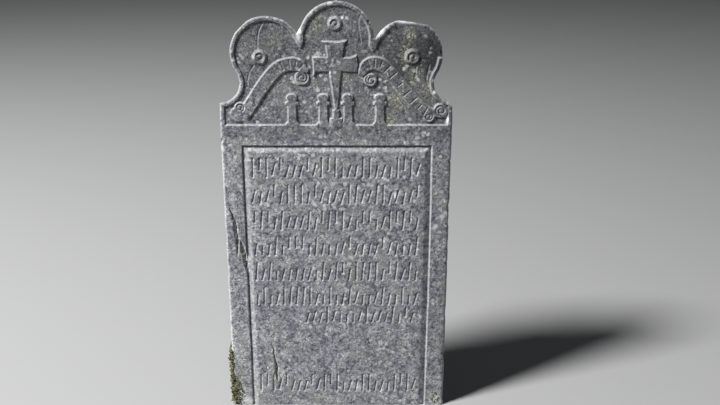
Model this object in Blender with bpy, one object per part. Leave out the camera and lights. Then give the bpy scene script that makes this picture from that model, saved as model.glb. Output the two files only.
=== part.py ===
"""Headstone cut from one slate slab, with a three-lobed head and a framed panel below it.

Metres, +Z up. The carved front faces -Y, and the origin is the middle of the flat underside,
at the level of the ground. Positions in the head are shares of the slab's width, measured from
the middle of the band's top edge, so the carving keeps its proportions when the width changes.
"""

import math

import bmesh
import bpy

# Driving sizes of the slab.
WIDTH = 0.610
THICKNESS = 0.050
BAND_TOP = 0.8465
BAND_HEIGHT = 0.0545
ARRIS = 0.004
BACK_TAPER = 0.006

# The fielded panel: a channel with a steep outer wall, and a long bevel rising to the field.
BORDER_WIDTH = 0.052
CHANNEL_WIDTH = 0.019
CHANNEL_WALL = 0.0025
CHANNEL_DEPTH = 0.0055

# The sunk ground of the head, and the rim that is left around it.
RIM_WIDTH = 0.011
GROUND_DEPTH = 0.004

# Lobes and the centres of the hollow necks, as shares of the width.
LEFT_LOBE = (-0.2920, 0.3109)
LEFT_LOBE_RADIUS = 0.1545
MIDDLE_LOBE = (0.0046, 0.3694)
MIDDLE_LOBE_RADIUS = 0.1585
RIGHT_LOBE = (0.3020, 0.3015)
RIGHT_LOBE_RADIUS = 0.1518
LEFT_NECK = (-0.5, 0.1858)
RIGHT_NECK = (0.5, 0.1820)

# A worn web fills each notch: it leaves each lobe this many degrees before the two would meet.
LEFT_WEB = 6.5
MIDDLE_WEB = 18.5
RIGHT_WEB = 4.5

# The rims of two lobes run on below their notch as a ridge to a point: how far its sides turn
# back along each lobe, in degrees, and where the point lies from the notch, as shares.
RIDGE_TURN = 9.0
LEFT_RIDGE_POINT = (0.0064, -0.0454)
RIGHT_RIDGE_POINT = (-0.0060, -0.0470)

# The rim is lost between these angles of the right lobe, in degrees.
RIM_LOSS_START = 113.0
RIM_LOSS_END = -4.0

# The broken top of the right lobe, and the worn right shoulder: lines from left to right.
BREAK_LINE = ((0.2480, 0.4477), (0.3895, 0.4298))
BREAK_SLOPE = 0.008
SHOULDER_WEAR_LINE = ((0.4780, 0.1060), (0.5030, 0.0790))

# Carved lines and strokes.
STROKE_WIDTH = 0.006
STROKE_DEPTH = 0.0025
STROKE_PITCH = 0.0185
ROW_PITCH = 0.0753
ROW_HEIGHT = 0.051
ROW_MARGIN = 0.0185
MAIN_ROWS_FOOT = 0.260
SHORT_ROW_DROP = 0.0625
SHORT_ROW_HEIGHT = 0.044
SHORT_ROW_INDENT = 0.140
LAST_ROW_TOP = 0.100
CRACK_WIDTH = 0.006
CRACK_DEPTH = 0.005

# Cross, as shares of the width.
CROSS = (
    (-0.0557, 0.3598),
    (-0.0410, 0.3467),
    (-0.0336, 0.2918),
    (-0.0967, 0.2943),
    (-0.0926, 0.2352),
    (-0.0951, 0.2139),
    (-0.0820, 0.2336),
    (-0.0262, 0.2352),
    (-0.0043, 0.0664),
    (0.0057, 0.0664),
    (0.0230, 0.2352),
    (0.0918, 0.2328),
    (0.0930, 0.2648),
    (0.0885, 0.3025),
    (0.0656, 0.2918),
    (0.0295, 0.2893),
    (0.0352, 0.3467),
    (0.0475, 0.3648),
    (0.0164, 0.3582),
)
CROSS_STEPS = ((0.0262, 0.0300), (0.0131, 0.0664))

# Turned posts that grow out of the band: middle of each, and half widths up its height.
POST_MIDDLES = (-0.1890, -0.0545, 0.0516, 0.1890)
POST_PROFILE = (
    (0.0330, 0.0000),
    (0.0220, 0.0130),
    (0.0185, 0.0250),
    (0.0185, 0.0820),
    (0.0265, 0.0890),
    (0.0265, 0.0990),
    (0.0175, 0.1060),
    (0.0235, 0.1180),
    (0.0195, 0.1300),
    (0.0080, 0.1370),
)

# Ribbons: points along the middle of each, and the half width at that point.
LEFT_RIBBON = (
    (-0.4220, 0.0470, 0.0320),
    (-0.3940, 0.0580, 0.0300),
    (-0.3660, 0.0900, 0.0270),
    (-0.3320, 0.1420, 0.0270),
    (-0.2870, 0.2030, 0.0275),
    (-0.2430, 0.2480, 0.0275),
    (-0.1950, 0.2640, 0.0275),
    (-0.1570, 0.2600, 0.0260),
    (-0.1330, 0.2380, 0.0180),
)
RIGHT_RIBBON = (
    (0.1150, 0.2330, 0.0180),
    (0.1330, 0.2600, 0.0240),
    (0.1660, 0.2690, 0.0270),
    (0.2060, 0.2540, 0.0275),
    (0.2440, 0.2160, 0.0275),
    (0.2900, 0.1580, 0.0280),
    (0.3330, 0.1080, 0.0280),
    (0.3720, 0.0690, 0.0270),
    (0.4080, 0.0500, 0.0240),
)
RIBBON_STROKES = 11

# Curls at the ribbons' ends: centre, radius, and the angle where the groove starts.
CURLS = (
    (-0.4131, 0.0770, 0.0230, -60.0, 1.0),
    (-0.1426, 0.2057, 0.0300, 60.0, -1.0),
    (0.1492, 0.1967, 0.0270, 130.0, 1.0),
    (0.4000, 0.0370, 0.0230, 60.0, -1.0),
    (0.4516, 0.0640, 0.0310, 250.0, -1.0),
)

# Round bosses in the lobes: centre and radius, with a dished top around a small pip.
BOSSES = (
    (-0.3197, 0.2925, 0.0311),
    (-0.0016, 0.4336, 0.0300),
    (0.3262, 0.2943, 0.0340),
)

# Lines cut in the ground of the lobes.
TENDRILS = (
    ((-0.3034, 0.4396), (-0.3230, 0.3958), (-0.3310, 0.3333)),
    ((-0.3481, 0.2560), (-0.3670, 0.2283), (-0.3766, 0.1710), (-0.3400, 0.1600)),
    ((0.3420, 0.2530), (0.3386, 0.2101)),
    ((0.3972, 0.2595), (0.3863, 0.2028), (0.3921, 0.1744)),
    ((0.1037, 0.4703), (0.0955, 0.4289), (0.1075, 0.3542)),
)

# Open cracks in the left border and in the foot of the panel: metres from the slab's left side,
# and above the ground.
BORDER_CRACK = ((0.014, 0.604), (0.023, 0.569), (0.030, 0.516), (0.043, 0.468), (0.048, 0.432))
PANEL_CRACK = ((0.109, 0.208), (0.117, 0.175), (0.1215, 0.133), (0.126, 0.105))

# Working allowances: how far cutters stand out of the stone, and the length of an arc's step.
LIFT = 0.0005
OUT = 0.020
ARC_STEP = 8.0
NECK_STEPS = 15
CURVE_STEPS = 3

FRONT = -THICKNESS / 2


def place(point):
    """A point of the head, from shares of the width to metres in the front plane."""
    return point[0] * WIDTH, BAND_TOP + point[1] * WIDTH


def arc(centre, radius, start, end, steps=None):
    """Points on an arc from one angle to the other, in degrees, both ends included."""
    steps = steps or max(2, round(abs(end - start) / ARC_STEP))
    angles = [math.radians(start + (end - start) * i / steps) for i in range(steps + 1)]
    return [(centre[0] + radius * math.cos(a), centre[1] + radius * math.sin(a)) for a in angles]


def neck_arc(neck, lobe, lobe_radius, inset, side):
    """The hollow neck from the slab's side up to where it meets the lobe's circle."""
    centre = place(neck)
    to_lobe = (place(lobe)[0] - centre[0], place(lobe)[1] - centre[1])
    radius = math.hypot(*to_lobe) - lobe_radius * WIDTH + inset
    start = math.degrees(math.atan2(-math.sqrt(radius**2 - inset**2), -side * inset))
    end = math.degrees(math.atan2(to_lobe[1], to_lobe[0]))
    if side > 0:
        start %= 360.0
    return arc(centre, radius, start, end, NECK_STEPS), end


def lobe_arc(lobe, radius, inset, start, end):
    """A lobe's edge, as an arc about its centre."""
    return arc(place(lobe), radius * WIDTH - inset, start, end)


def notch(left, left_radius, right, right_radius):
    """The upper point where two lobes meet, in shares, and the angle to it from each centre."""
    dx, dz = right[0] - left[0], right[1] - left[1]
    apart = math.hypot(dx, dz)
    along = (left_radius**2 - right_radius**2 + apart**2) / (2 * apart)
    up = math.sqrt(max(0.0, left_radius**2 - along**2))
    x = left[0] + (along * dx - up * dz) / apart
    z = left[1] + (along * dz + up * dx) / apart
    from_left = math.degrees(math.atan2(z - left[1], x - left[0]))
    from_right = math.degrees(math.atan2(z - right[1], x - right[0])) % 360.0
    return (x, z), from_left, from_right


def left_notch():
    """Where the left and the middle lobe meet."""
    return notch(LEFT_LOBE, LEFT_LOBE_RADIUS, MIDDLE_LOBE, MIDDLE_LOBE_RADIUS)


def right_notch():
    """Where the middle and the right lobe meet."""
    return notch(MIDDLE_LOBE, MIDDLE_LOBE_RADIUS, RIGHT_LOBE, RIGHT_LOBE_RADIUS)


def left_half(inset, lobe_end):
    """The edge from the left side, up the neck and over the left lobe."""
    neck, angle = neck_arc(LEFT_NECK, LEFT_LOBE, LEFT_LOBE_RADIUS, inset, -1)
    lobe = lobe_arc(LEFT_LOBE, LEFT_LOBE_RADIUS, inset, angle + 180.0, lobe_end)
    return neck + lobe[1:]


def slab_outline(inset):
    """The whole edge of the slab, clockwise from its lower left corner, moved in by an inset."""
    neck, angle = neck_arc(RIGHT_NECK, RIGHT_LOBE, RIGHT_LOBE_RADIUS, inset, 1)
    _, left_end, middle_start = left_notch()
    _, middle_end, right_start = right_notch()
    middle_start -= MIDDLE_WEB
    middle_end += RIGHT_WEB
    right_start -= RIGHT_WEB
    side = WIDTH / 2 - inset
    points = [(-side, 0.0)]
    points += left_half(inset, left_end + LEFT_WEB)
    points += lobe_arc(MIDDLE_LOBE, MIDDLE_LOBE_RADIUS, inset, middle_start, middle_end)
    points += lobe_arc(RIGHT_LOBE, RIGHT_LOBE_RADIUS, inset, right_start, angle - 180.0)
    points += neck[-2::-1]
    points.append((side, 0.0))
    return points


def ground_outline():
    """The sunk ground of the head inside its rim, which is lost around the right lobe's top."""
    neck, angle = neck_arc(RIGHT_NECK, RIGHT_LOBE, RIGHT_LOBE_RADIUS, RIM_WIDTH, 1)
    (left_x, left_z), left_end, middle_start = left_notch()
    (right_x, right_z), middle_end, right_start = right_notch()
    middle_start += RIDGE_TURN
    middle_end -= RIDGE_TURN
    right_start += RIDGE_TURN
    side = WIDTH / 2 - RIM_WIDTH
    points = [(-side, BAND_TOP)]
    points += left_half(RIM_WIDTH, left_end - RIDGE_TURN)
    points.append(place((left_x + LEFT_RIDGE_POINT[0], left_z + LEFT_RIDGE_POINT[1])))
    points += lobe_arc(MIDDLE_LOBE, MIDDLE_LOBE_RADIUS, RIM_WIDTH, middle_start, middle_end)
    points.append(place((right_x + RIGHT_RIDGE_POINT[0], right_z + RIGHT_RIDGE_POINT[1])))
    points += lobe_arc(RIGHT_LOBE, RIGHT_LOBE_RADIUS, RIM_WIDTH, right_start, RIM_LOSS_START)
    points += lobe_arc(RIGHT_LOBE, RIGHT_LOBE_RADIUS, -RIM_WIDTH, RIM_LOSS_START, RIM_LOSS_END)
    points += lobe_arc(RIGHT_LOBE, RIGHT_LOBE_RADIUS, RIM_WIDTH, RIM_LOSS_END, angle - 180.0)
    points += neck[-2::-1]
    points.append((side, BAND_TOP))
    return points


def smooth_path(points):
    """A rounder path through the given rows of numbers, by Catmull-Rom's rule."""
    ends = [points[0], *points, points[-1]]
    path = []
    for before, start, end, after in zip(ends, ends[1:], ends[2:], ends[3:]):
        for step in range(CURVE_STEPS):
            t = step / CURVE_STEPS
            weights = (
                (-t + 2 * t**2 - t**3) / 2,
                (2 - 5 * t**2 + 3 * t**3) / 2,
                (t + 4 * t**2 - 3 * t**3) / 2,
                (t**3 - t**2) / 2,
            )
            rows = zip(before, start, end, after)
            path.append(tuple(sum(w * v for w, v in zip(weights, row)) for row in rows))
    return [*path, tuple(points[-1])]


def directions(path):
    """The unit direction of a path at each of its points."""
    result = []
    for before, after in zip([path[0], *path[:-1]], [*path[1:], path[-1]]):
        dx, dz = after[0] - before[0], after[1] - before[1]
        length = math.hypot(dx, dz)
        result.append((dx / length, dz / length))
    return result


def ribbon_path(ribbon):
    """A ribbon's middle line in metres, with its half width at each point."""
    return [(*place(row), row[2] * WIDTH) for row in smooth_path(ribbon)]


def ribbon_outline(ribbon):
    """The two edges of a ribbon, as one closed outline."""
    path = ribbon_path(ribbon)
    sides = []
    for side in (1, -1):
        edge = [
            (x - side * half * dz, z + side * half * dx)
            for (x, z, half), (dx, dz) in zip(path, directions(path))
        ]
        sides.append(edge)
    return sides[0] + sides[1][::-1]


def post_outline(middle):
    """A turned post seen from the front, the same on both sides of its middle."""
    right = [place((middle + half, height)) for half, height in POST_PROFILE]
    left = [place((middle - half, height)) for half, height in POST_PROFILE]
    foot = BAND_TOP - GROUND_DEPTH
    return [(left[0][0], foot), *left, *right[::-1], (right[0][0], foot)]


def steps_outline():
    """The two steps under the cross, which grow out of the band."""
    (low_half, low_top), (high_half, high_top) = CROSS_STEPS
    foot = -GROUND_DEPTH / WIDTH
    left = [(-low_half, foot), (-low_half, low_top), (-high_half, low_top), (-high_half, high_top)]
    return [place(p) for p in left + [(-x, z) for x, z in left[::-1]]]


def mesh_object(name, bm):
    """A mesh object with its faces turned outwards."""
    bmesh.ops.recalc_face_normals(bm, faces=bm.faces)
    mesh = bpy.data.meshes.new(name)
    bm.to_mesh(mesh)
    bm.free()
    obj = bpy.data.objects.new(name, mesh)
    bpy.context.scene.collection.objects.link(obj)
    return obj


def add_loft(bm, rings):
    """Closed rings of (x, y, z) points joined one after another, with a face on each end."""
    rows = [[bm.verts.new(point) for point in ring] for ring in rings]
    count = len(rows[0])
    for near, far in zip(rows, rows[1:]):
        for i in range(count):
            j = (i + 1) % count
            bm.faces.new((near[i], near[j], far[j], far[i]))
    bm.faces.new(rows[0][::-1])
    bm.faces.new(rows[-1])


def as_cutter(obj):
    """A cutting shape that is never part of the stone."""
    obj.hide_render = True
    obj.display_type = "WIRE"
    return obj


def prism(name, outline, near, far, shift=0.0):
    """A cutter between two depths, whose far end may stand higher than its near end."""
    bm = bmesh.new()
    rings = [[(x, near, z) for x, z in outline], [(x, far, z + shift) for x, z in outline]]
    add_loft(bm, rings)
    return as_cutter(mesh_object(name, bm))


def carve(stone, tool):
    """Takes one shape away from another."""
    modifier = stone.modifiers.new(tool.name, "BOOLEAN")
    modifier.operation = "DIFFERENCE"
    modifier.solver = "EXACT"
    modifier.use_self = True
    modifier.object = tool


def add_groove(bm, path, width, depth):
    """A V-shaped groove along a path of (x, z) points, with sloping ends."""
    half = width / 2 * (1 + LIFT / depth)
    rings = []
    for i, ((x, z), (dx, dz)) in enumerate(zip(path, directions(path))):
        set_back = {0: half, len(path) - 1: -half}.get(i, 0.0)
        rings.append(
            (
                (x - half * dz, FRONT - LIFT, z + half * dx),
                (x + set_back * dx, FRONT + depth, z + set_back * dz),
                (x + half * dz, FRONT - LIFT, z - half * dx),
            )
        )
    add_loft(bm, rings)


def sunk_groove(bm, path, width, depth, level):
    """The same groove cut from a lower surface than the front plane."""
    first = len(bm.verts)
    add_groove(bm, path, width, depth)
    bm.verts.ensure_lookup_table()
    for vert in bm.verts[first:]:
        vert.co.y += level


def row_strokes(left, right, top, height, row):
    """One row of separate strokes of unlike heights and leans, which spell nothing."""
    kinds = (
        (0.0, 1.0, 0.03),
        (0.0, 0.6, 0.10),
        (0.0, 0.6, 0.16),
        (0.4, 1.0, 0.03),
        (0.0, 0.5, 0.03),
        (0.1, 0.7, 0.16),
        (0.0, 1.0, 0.10),
    )
    count = int((right - left) / STROKE_PITCH) + 1
    for k in range(count):
        low, high, lean = kinds[(5 * row + 3 * k + k * k // 3) % len(kinds)]
        x = left + k * STROKE_PITCH
        shift = lean * height / 2
        yield (x - shift, top - (1.0 - low) * height), (x + shift, top - (1.0 - high) * height)


def build_inscription():
    """All the rows of strokes on the panel, as one cutter of separate wedges."""
    reach = WIDTH / 2 - BORDER_WIDTH - CHANNEL_WIDTH - ROW_MARGIN / 2
    top = BAND_TOP - BAND_HEIGHT - CHANNEL_WIDTH - ROW_MARGIN
    rows = []
    while top - ROW_HEIGHT > MAIN_ROWS_FOOT:
        rows.append((-reach, top, ROW_HEIGHT))
        top -= ROW_PITCH
    rows.append((-reach + SHORT_ROW_INDENT, top + ROW_PITCH - SHORT_ROW_DROP, SHORT_ROW_HEIGHT))
    rows.append((-reach, LAST_ROW_TOP, ROW_HEIGHT))
    bm = bmesh.new()
    for row, (left, row_top, height) in enumerate(rows):
        for path in row_strokes(left, reach, row_top, height, row):
            add_groove(bm, path, STROKE_WIDTH, STROKE_DEPTH)
    return as_cutter(mesh_object("inscription_cutter", bm))


def build_ribbon_strokes():
    """Short strokes across both ribbons, evenly spaced along their middle lines."""
    bm = bmesh.new()
    for ribbon in (LEFT_RIBBON, RIGHT_RIBBON):
        path = ribbon_path(ribbon)
        for k in range(RIBBON_STROKES):
            i = 2 + round(k * (len(path) - 5) / (RIBBON_STROKES - 1))
            x, z, half = path[i]
            dx, dz = directions(path)[i]
            reach = half * (0.62 if k % 3 else 0.42)
            stroke = ((x + reach * dz, z - reach * dx), (x - reach * dz, z + reach * dx))
            add_groove(bm, stroke, STROKE_WIDTH * 0.6, STROKE_DEPTH * 0.8)
    return as_cutter(mesh_object("ribbon_stroke_cutter", bm))


def build_curl_grooves():
    """The spiral groove in each curl, winding in from its edge."""
    bm = bmesh.new()
    turns = 1.25
    steps = 15
    for x, z, radius, start, way in CURLS:
        path = []
        for i in range(steps + 1):
            share = i / steps
            angle = math.radians(start + way * 360.0 * turns * share)
            reach = radius * (0.78 - 0.46 * share)
            path.append(place((x + reach * math.cos(angle), z + reach * math.sin(angle))))
        add_groove(bm, path, STROKE_WIDTH * 0.55, STROKE_DEPTH)
    return as_cutter(mesh_object("curl_groove_cutter", bm))


def build_boss_dishes():
    """The ring-shaped hollow in the top of each boss, around its pip."""
    bm = bmesh.new()
    for x, z, radius in BOSSES:
        rings = []
        for share, depth in ((0.78, -LIFT), (0.50, STROKE_DEPTH), (0.22, -LIFT)):
            circle = arc(place((x, z)), radius * WIDTH * share, 0.0, 360.0)[:-1]
            rings.append([(cx, FRONT + depth, cz) for cx, cz in circle])
        rows = [[bm.verts.new(point) for point in ring] for ring in rings]
        for near, far in zip(rows, [*rows[1:], rows[0]]):
            for i in range(len(near)):
                j = (i + 1) % len(near)
                bm.faces.new((near[i], near[j], far[j], far[i]))
    return as_cutter(mesh_object("boss_dish_cutter", bm))


def build_tendrils():
    """The thin curved lines cut in the sunk ground of the lobes."""
    bm = bmesh.new()
    for line in TENDRILS:
        path = [place(p) for p in smooth_path(line)]
        sunk_groove(bm, path, STROKE_WIDTH * 0.7, STROKE_DEPTH * 0.8, GROUND_DEPTH)
    return as_cutter(mesh_object("tendril_cutter", bm))


def build_cracks():
    """The open cracks, as narrow grooves with a bend at each point."""
    bm = bmesh.new()
    for line in (BORDER_CRACK, PANEL_CRACK):
        path = [(-WIDTH / 2 + x, z) for x, z in line]
        add_groove(bm, path, CRACK_WIDTH, CRACK_DEPTH)
    return as_cutter(mesh_object("crack_cutter", bm))


def build_channel():
    """The channel around the panel, up one side, across the top and down to the ground."""
    wall_slope = CHANNEL_WALL / CHANNEL_DEPTH
    bevel_slope = (CHANNEL_WIDTH - CHANNEL_WALL) / CHANNEL_DEPTH
    profile = (
        (-wall_slope * LIFT, -LIFT),
        (CHANNEL_WALL, CHANNEL_DEPTH),
        (CHANNEL_WIDTH + bevel_slope * LIFT, -LIFT),
    )
    side = WIDTH / 2 - BORDER_WIDTH
    top = BAND_TOP - BAND_HEIGHT
    rings = []
    for sign, runs_down in ((-1, True), (-1, False), (1, False), (1, True)):
        ring = []
        for inwards, depth in profile:
            height = -OUT if runs_down else top - inwards
            ring.append((sign * (side - inwards), FRONT + depth, height))
        rings.append(ring)
    bm = bmesh.new()
    add_loft(bm, rings)
    return as_cutter(mesh_object("channel_cutter", bm))


def build_ground():
    """The sunk ground of the head, with everything that stays raised left out of it."""
    ground = prism("ground_cutter", ground_outline(), FRONT - OUT, FRONT + GROUND_DEPTH)
    raised = {"cross": [place(p) for p in CROSS], "cross_steps": steps_outline()}
    for i, middle in enumerate(POST_MIDDLES, 1):
        raised[f"post_{i}"] = post_outline(middle)
    for name, ribbon in (("left_ribbon", LEFT_RIBBON), ("right_ribbon", RIGHT_RIBBON)):
        raised[name] = ribbon_outline(ribbon)
    for i, (x, z, radius, _, _) in enumerate(CURLS, 1):
        raised[f"curl_{i}"] = arc(place((x, z)), radius * WIDTH, 4.0, 364.0)[:-1]
    for i, (x, z, radius) in enumerate(BOSSES, 1):
        raised[f"boss_{i}"] = arc(place((x, z)), radius * WIDTH, 0.0, 360.0)[:-1]
    for name, outline in raised.items():
        carve(ground, prism(name, outline, FRONT - 2 * OUT, FRONT + GROUND_DEPTH + OUT))
    return ground


def build_damage():
    """The lost top of the right lobe and the worn corner of the right shoulder."""
    tools = []
    lines = (("lobe_break", BREAK_LINE, BREAK_SLOPE), ("shoulder_wear", SHOULDER_WEAR_LINE, 0.0))
    for name, line, slope in lines:
        (x1, z1), (x2, z2) = (place(p) for p in line)
        block = [(x1, z1), (x1, z1 + OUT), (x2 + OUT, z1 + OUT), (x2 + OUT, z2 - OUT), (x2, z2)]
        tools.append(prism(name, block, FRONT - OUT, -FRONT + OUT, slope))
    return tools


def slate():
    """Weathered blue-grey slate."""
    material = bpy.data.materials.new("slate")
    material.use_nodes = True
    shader = material.node_tree.nodes["Principled BSDF"]
    shader.inputs["Base Color"].default_value = (0.205, 0.212, 0.235, 1.0)
    shader.inputs["Roughness"].default_value = 0.85
    shader.inputs["Metallic"].default_value = 0.0
    return material


def build_headstone():
    """The slab, its edges dressed a little inwards to the back and its arrises taken off, then
    every cut of the carving and the wear."""
    levels = (
        (FRONT, ARRIS),
        (FRONT + ARRIS, 0.0),
        (-FRONT - ARRIS, BACK_TAPER),
        (-FRONT, BACK_TAPER + ARRIS),
    )
    bm = bmesh.new()
    add_loft(bm, [[(x, y, z) for x, z in slab_outline(inset)] for y, inset in levels])
    stone = mesh_object("headstone", bm)
    stone.data.materials.append(slate())
    tools = [build_ground(), build_channel(), build_inscription(), build_ribbon_strokes()]
    tools += [build_curl_grooves(), build_boss_dishes(), build_tendrils(), build_cracks()]
    tools += build_damage()
    for tool in tools:
        carve(stone, tool)
    return stone


for leftover in list(bpy.data.objects):
    bpy.data.objects.remove(leftover, do_unlink=True)
build_headstone()
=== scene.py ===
"""Slate headstone: the weathered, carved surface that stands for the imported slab."""

import math

import bpy
import numpy as np
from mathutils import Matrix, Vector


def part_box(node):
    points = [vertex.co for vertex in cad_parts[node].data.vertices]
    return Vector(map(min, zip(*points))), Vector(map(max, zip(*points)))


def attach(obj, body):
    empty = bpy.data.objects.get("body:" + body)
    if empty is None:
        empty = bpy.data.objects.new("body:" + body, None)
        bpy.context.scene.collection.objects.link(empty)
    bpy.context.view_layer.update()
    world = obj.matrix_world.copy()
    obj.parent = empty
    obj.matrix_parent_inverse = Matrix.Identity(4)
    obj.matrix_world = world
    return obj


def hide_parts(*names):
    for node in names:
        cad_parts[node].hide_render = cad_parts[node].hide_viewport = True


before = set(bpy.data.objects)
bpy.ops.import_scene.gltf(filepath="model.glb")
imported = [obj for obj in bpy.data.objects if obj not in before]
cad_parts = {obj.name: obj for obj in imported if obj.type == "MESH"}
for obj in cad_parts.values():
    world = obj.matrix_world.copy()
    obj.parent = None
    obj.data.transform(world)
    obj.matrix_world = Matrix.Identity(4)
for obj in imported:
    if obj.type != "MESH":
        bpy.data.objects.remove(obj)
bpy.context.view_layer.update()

# The back of the slab: one plate of slate split from its bed, left riven and uncarved, with
# its edges dressed a little inwards to the back. Outline, wear and stone are the whole slab's,
# and places in the head are shares of its width from the middle of the band's top edge.
slab_low, slab_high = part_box("headstone")
WIDTH = slab_high.x - slab_low.x
FRONT = slab_low.y
BACK = slab_high.y
HEAD_TOP = slab_high.z
SKIN = 0.010
INNER = BACK - SKIN
BELOW_GROUND = -0.2
BACK_TAPER = 0.006
BACK_CELL = 0.004
BACK_ROWS = 4

BAND_TOP = 0.8465
LEFT_LOBE = (-0.2920, 0.3109)
LEFT_LOBE_RADIUS = 0.1545
MIDDLE_LOBE = (0.0046, 0.3694)
MIDDLE_LOBE_RADIUS = 0.1585
RIGHT_LOBE = (0.3020, 0.3015)
RIGHT_LOBE_RADIUS = 0.1518
LEFT_NECK = (-0.5, 0.1858)
RIGHT_NECK = (0.5, 0.1820)
LEFT_WEB = 6.5
MIDDLE_WEB = 18.5
RIGHT_WEB = 4.5
BREAK_FROM = 107.2
BREAK_TO = 57.6
BREAK_CLIMB = 0.09
WORN_SHOULDER = ((0.4780, 0.1058), (0.5000, 0.0822))

ARRIS = 0.0050
CHIP = 0.0055
WORN_REACH = 0.022
SIDE_SWELL = 0.0016
SWELL_TOP = 0.893
SWELL_FADE = 0.030
CORNER_LOSS = 0.012
CORNER_HEIGHT = 0.055
# Painted highlight on slopes that face up and to the left, towards the lamp, and on the arris: its
# strength, its most on a slope, and its reach in from the edge.
HIGHLIGHT_STRENGTH = 0.42
HIGHLIGHT_MOST = 0.32
HIGHLIGHT_REACH = 0.005
FAN_HEIGHT = 0.87
FAR_OUT = 2.0


def place(points):
    """Shares of the width, from the middle of the band's top edge, as metres."""
    return np.asarray(points, float) * WIDTH + (0.0, BAND_TOP)


def arc(centre, radius, start, end):
    """Points about two degrees apart on an arc, both ends included."""
    steps = max(3, round(abs(end - start) / 2.0))
    angles = np.radians(np.linspace(start, end, steps + 1))
    return np.column_stack((centre[0] + radius * np.cos(angles), centre[1] + radius * np.sin(angles)))


def lobe_arc(lobe, radius, inset, start, end):
    """A lobe's edge moved in by an inset, as an arc about its centre."""
    return arc(place(lobe), radius * WIDTH - inset, start, end)


def neck_arc(neck, lobe, lobe_radius, inset, side):
    """The hollow neck: an arc about a point on the slab's side that touches the lobe's circle."""
    centre = place(neck)
    reach = place(lobe) - centre
    radius = math.hypot(*reach) - lobe_radius * WIDTH + inset
    start = math.degrees(math.atan2(-math.sqrt(radius**2 - inset**2), -side * inset))
    end = math.degrees(math.atan2(reach[1], reach[0]))
    return arc(centre, radius, start % 360.0 if side > 0 else start, end), end


def notch(left, left_radius, right, right_radius):
    """The upper crossing of two circles, with the angle to it from each of their centres."""
    dx, dz = right[0] - left[0], right[1] - left[1]
    apart = math.hypot(dx, dz)
    along = (left_radius**2 - right_radius**2 + apart**2) / (2 * apart)
    up = math.sqrt(max(0.0, left_radius**2 - along**2))
    x = left[0] + (along * dx - up * dz) / apart
    z = left[1] + (along * dz + up * dx) / apart
    from_left = math.degrees(math.atan2(z - left[1], x - left[0]))
    from_right = math.degrees(math.atan2(z - right[1], x - right[0])) % 360.0
    return np.array((x, z)), from_left, from_right


left_notch, left_end, middle_start = notch(LEFT_LOBE, LEFT_LOBE_RADIUS, MIDDLE_LOBE, MIDDLE_LOBE_RADIUS)
right_notch, middle_end, right_start = notch(MIDDLE_LOBE, MIDDLE_LOBE_RADIUS, RIGHT_LOBE, RIGHT_LOBE_RADIUS)


def lobed_edge(inset, foot, lobes, worn=None):
    """The edge from the left side to the right: a neck, the lobes, and a neck that ends at the
    worn corner where one is given."""
    left, left_angle = neck_arc(LEFT_NECK, LEFT_LOBE, LEFT_LOBE_RADIUS, inset, -1)
    right, right_angle = neck_arc(RIGHT_NECK, RIGHT_LOBE, RIGHT_LOBE_RADIUS, inset, 1)
    side = WIDTH / 2 - inset
    right = right[-2::-1]
    if worn is not None:
        right = np.vstack((right[right[:, 0] < worn[0, 0]], worn))
    over = lobes(left_angle + 180.0, right_angle - 180.0)
    return np.vstack([[(-side, foot)], left[:-1], *over, right, [(side, foot)]])


def slab_lobes(left_angle, right_angle):
    """The outer edges of the three lobes, with the straight break across the right one."""
    return (
        lobe_arc(LEFT_LOBE, LEFT_LOBE_RADIUS, 0.0, left_angle, left_end + LEFT_WEB),
        lobe_arc(MIDDLE_LOBE, MIDDLE_LOBE_RADIUS, 0.0, middle_start - MIDDLE_WEB, middle_end + RIGHT_WEB),
        lobe_arc(RIGHT_LOBE, RIGHT_LOBE_RADIUS, 0.0, right_start - RIGHT_WEB, BREAK_FROM),
        lobe_arc(RIGHT_LOBE, RIGHT_LOBE_RADIUS, 0.0, BREAK_TO, right_angle),
    )


slab_edge = lobed_edge(0.0, BELOW_GROUND, slab_lobes, place(WORN_SHOULDER))


def edge_distance(x, z, outline):
    """Signed distance to a closed outline: the least distance to its straight steps, positive
    inside, where a level line to the right crosses an odd number of them."""
    least = np.full(x.shape, np.inf)
    inside = np.zeros(x.shape, bool)
    for (x1, z1), (x2, z2) in zip(outline, np.roll(outline, -1, axis=0)):
        dx, dz = x2 - x1, z2 - z1
        share = np.clip(((x - x1) * dx + (z - z1) * dz) / (dx**2 + dz**2 + 1e-18), 0.0, 1.0)
        least = np.minimum(least, (x - x1 - share * dx) ** 2 + (z - z1 - share * dz) ** 2)
        if dz != 0.0:
            inside ^= ((z1 > z) != (z2 > z)) & (x < x1 + dx * (z - z1) / dz)
    return np.where(inside, 1.0, -1.0) * np.sqrt(least)


def nearest_edge(x, z, outline):
    """The nearest point of a clockwise outline, and the direction straight in from it."""
    least = np.full(x.shape, np.inf)
    found = [np.zeros(x.shape) for _ in range(4)]
    for (x1, z1), (x2, z2) in zip(outline, np.roll(outline, -1, axis=0)):
        dx, dz = x2 - x1, z2 - z1
        length = math.hypot(dx, dz)
        if length < 1e-9:
            continue
        share = np.clip(((x - x1) * dx + (z - z1) * dz) / length**2, 0.0, 1.0)
        px, pz = x1 + share * dx, z1 + share * dz
        apart = (x - px) ** 2 + (z - pz) ** 2
        closer = apart < least
        least = np.where(closer, apart, least)
        for kept, new in zip(found, (px, pz, dz / length, -dx / length)):
            kept[closer] = np.broadcast_to(new, x.shape)[closer]
    return found


# The slab's edge with both shoulders carried on level, far past its sides.
shoulders_on = np.vstack(
    (
        [(-FAR_OUT, BELOW_GROUND), (-FAR_OUT, slab_edge[1, 1])],
        slab_edge[1:-1],
        [(FAR_OUT, slab_edge[-2, 1]), (FAR_OUT, BELOW_GROUND)],
    )
)


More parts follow.
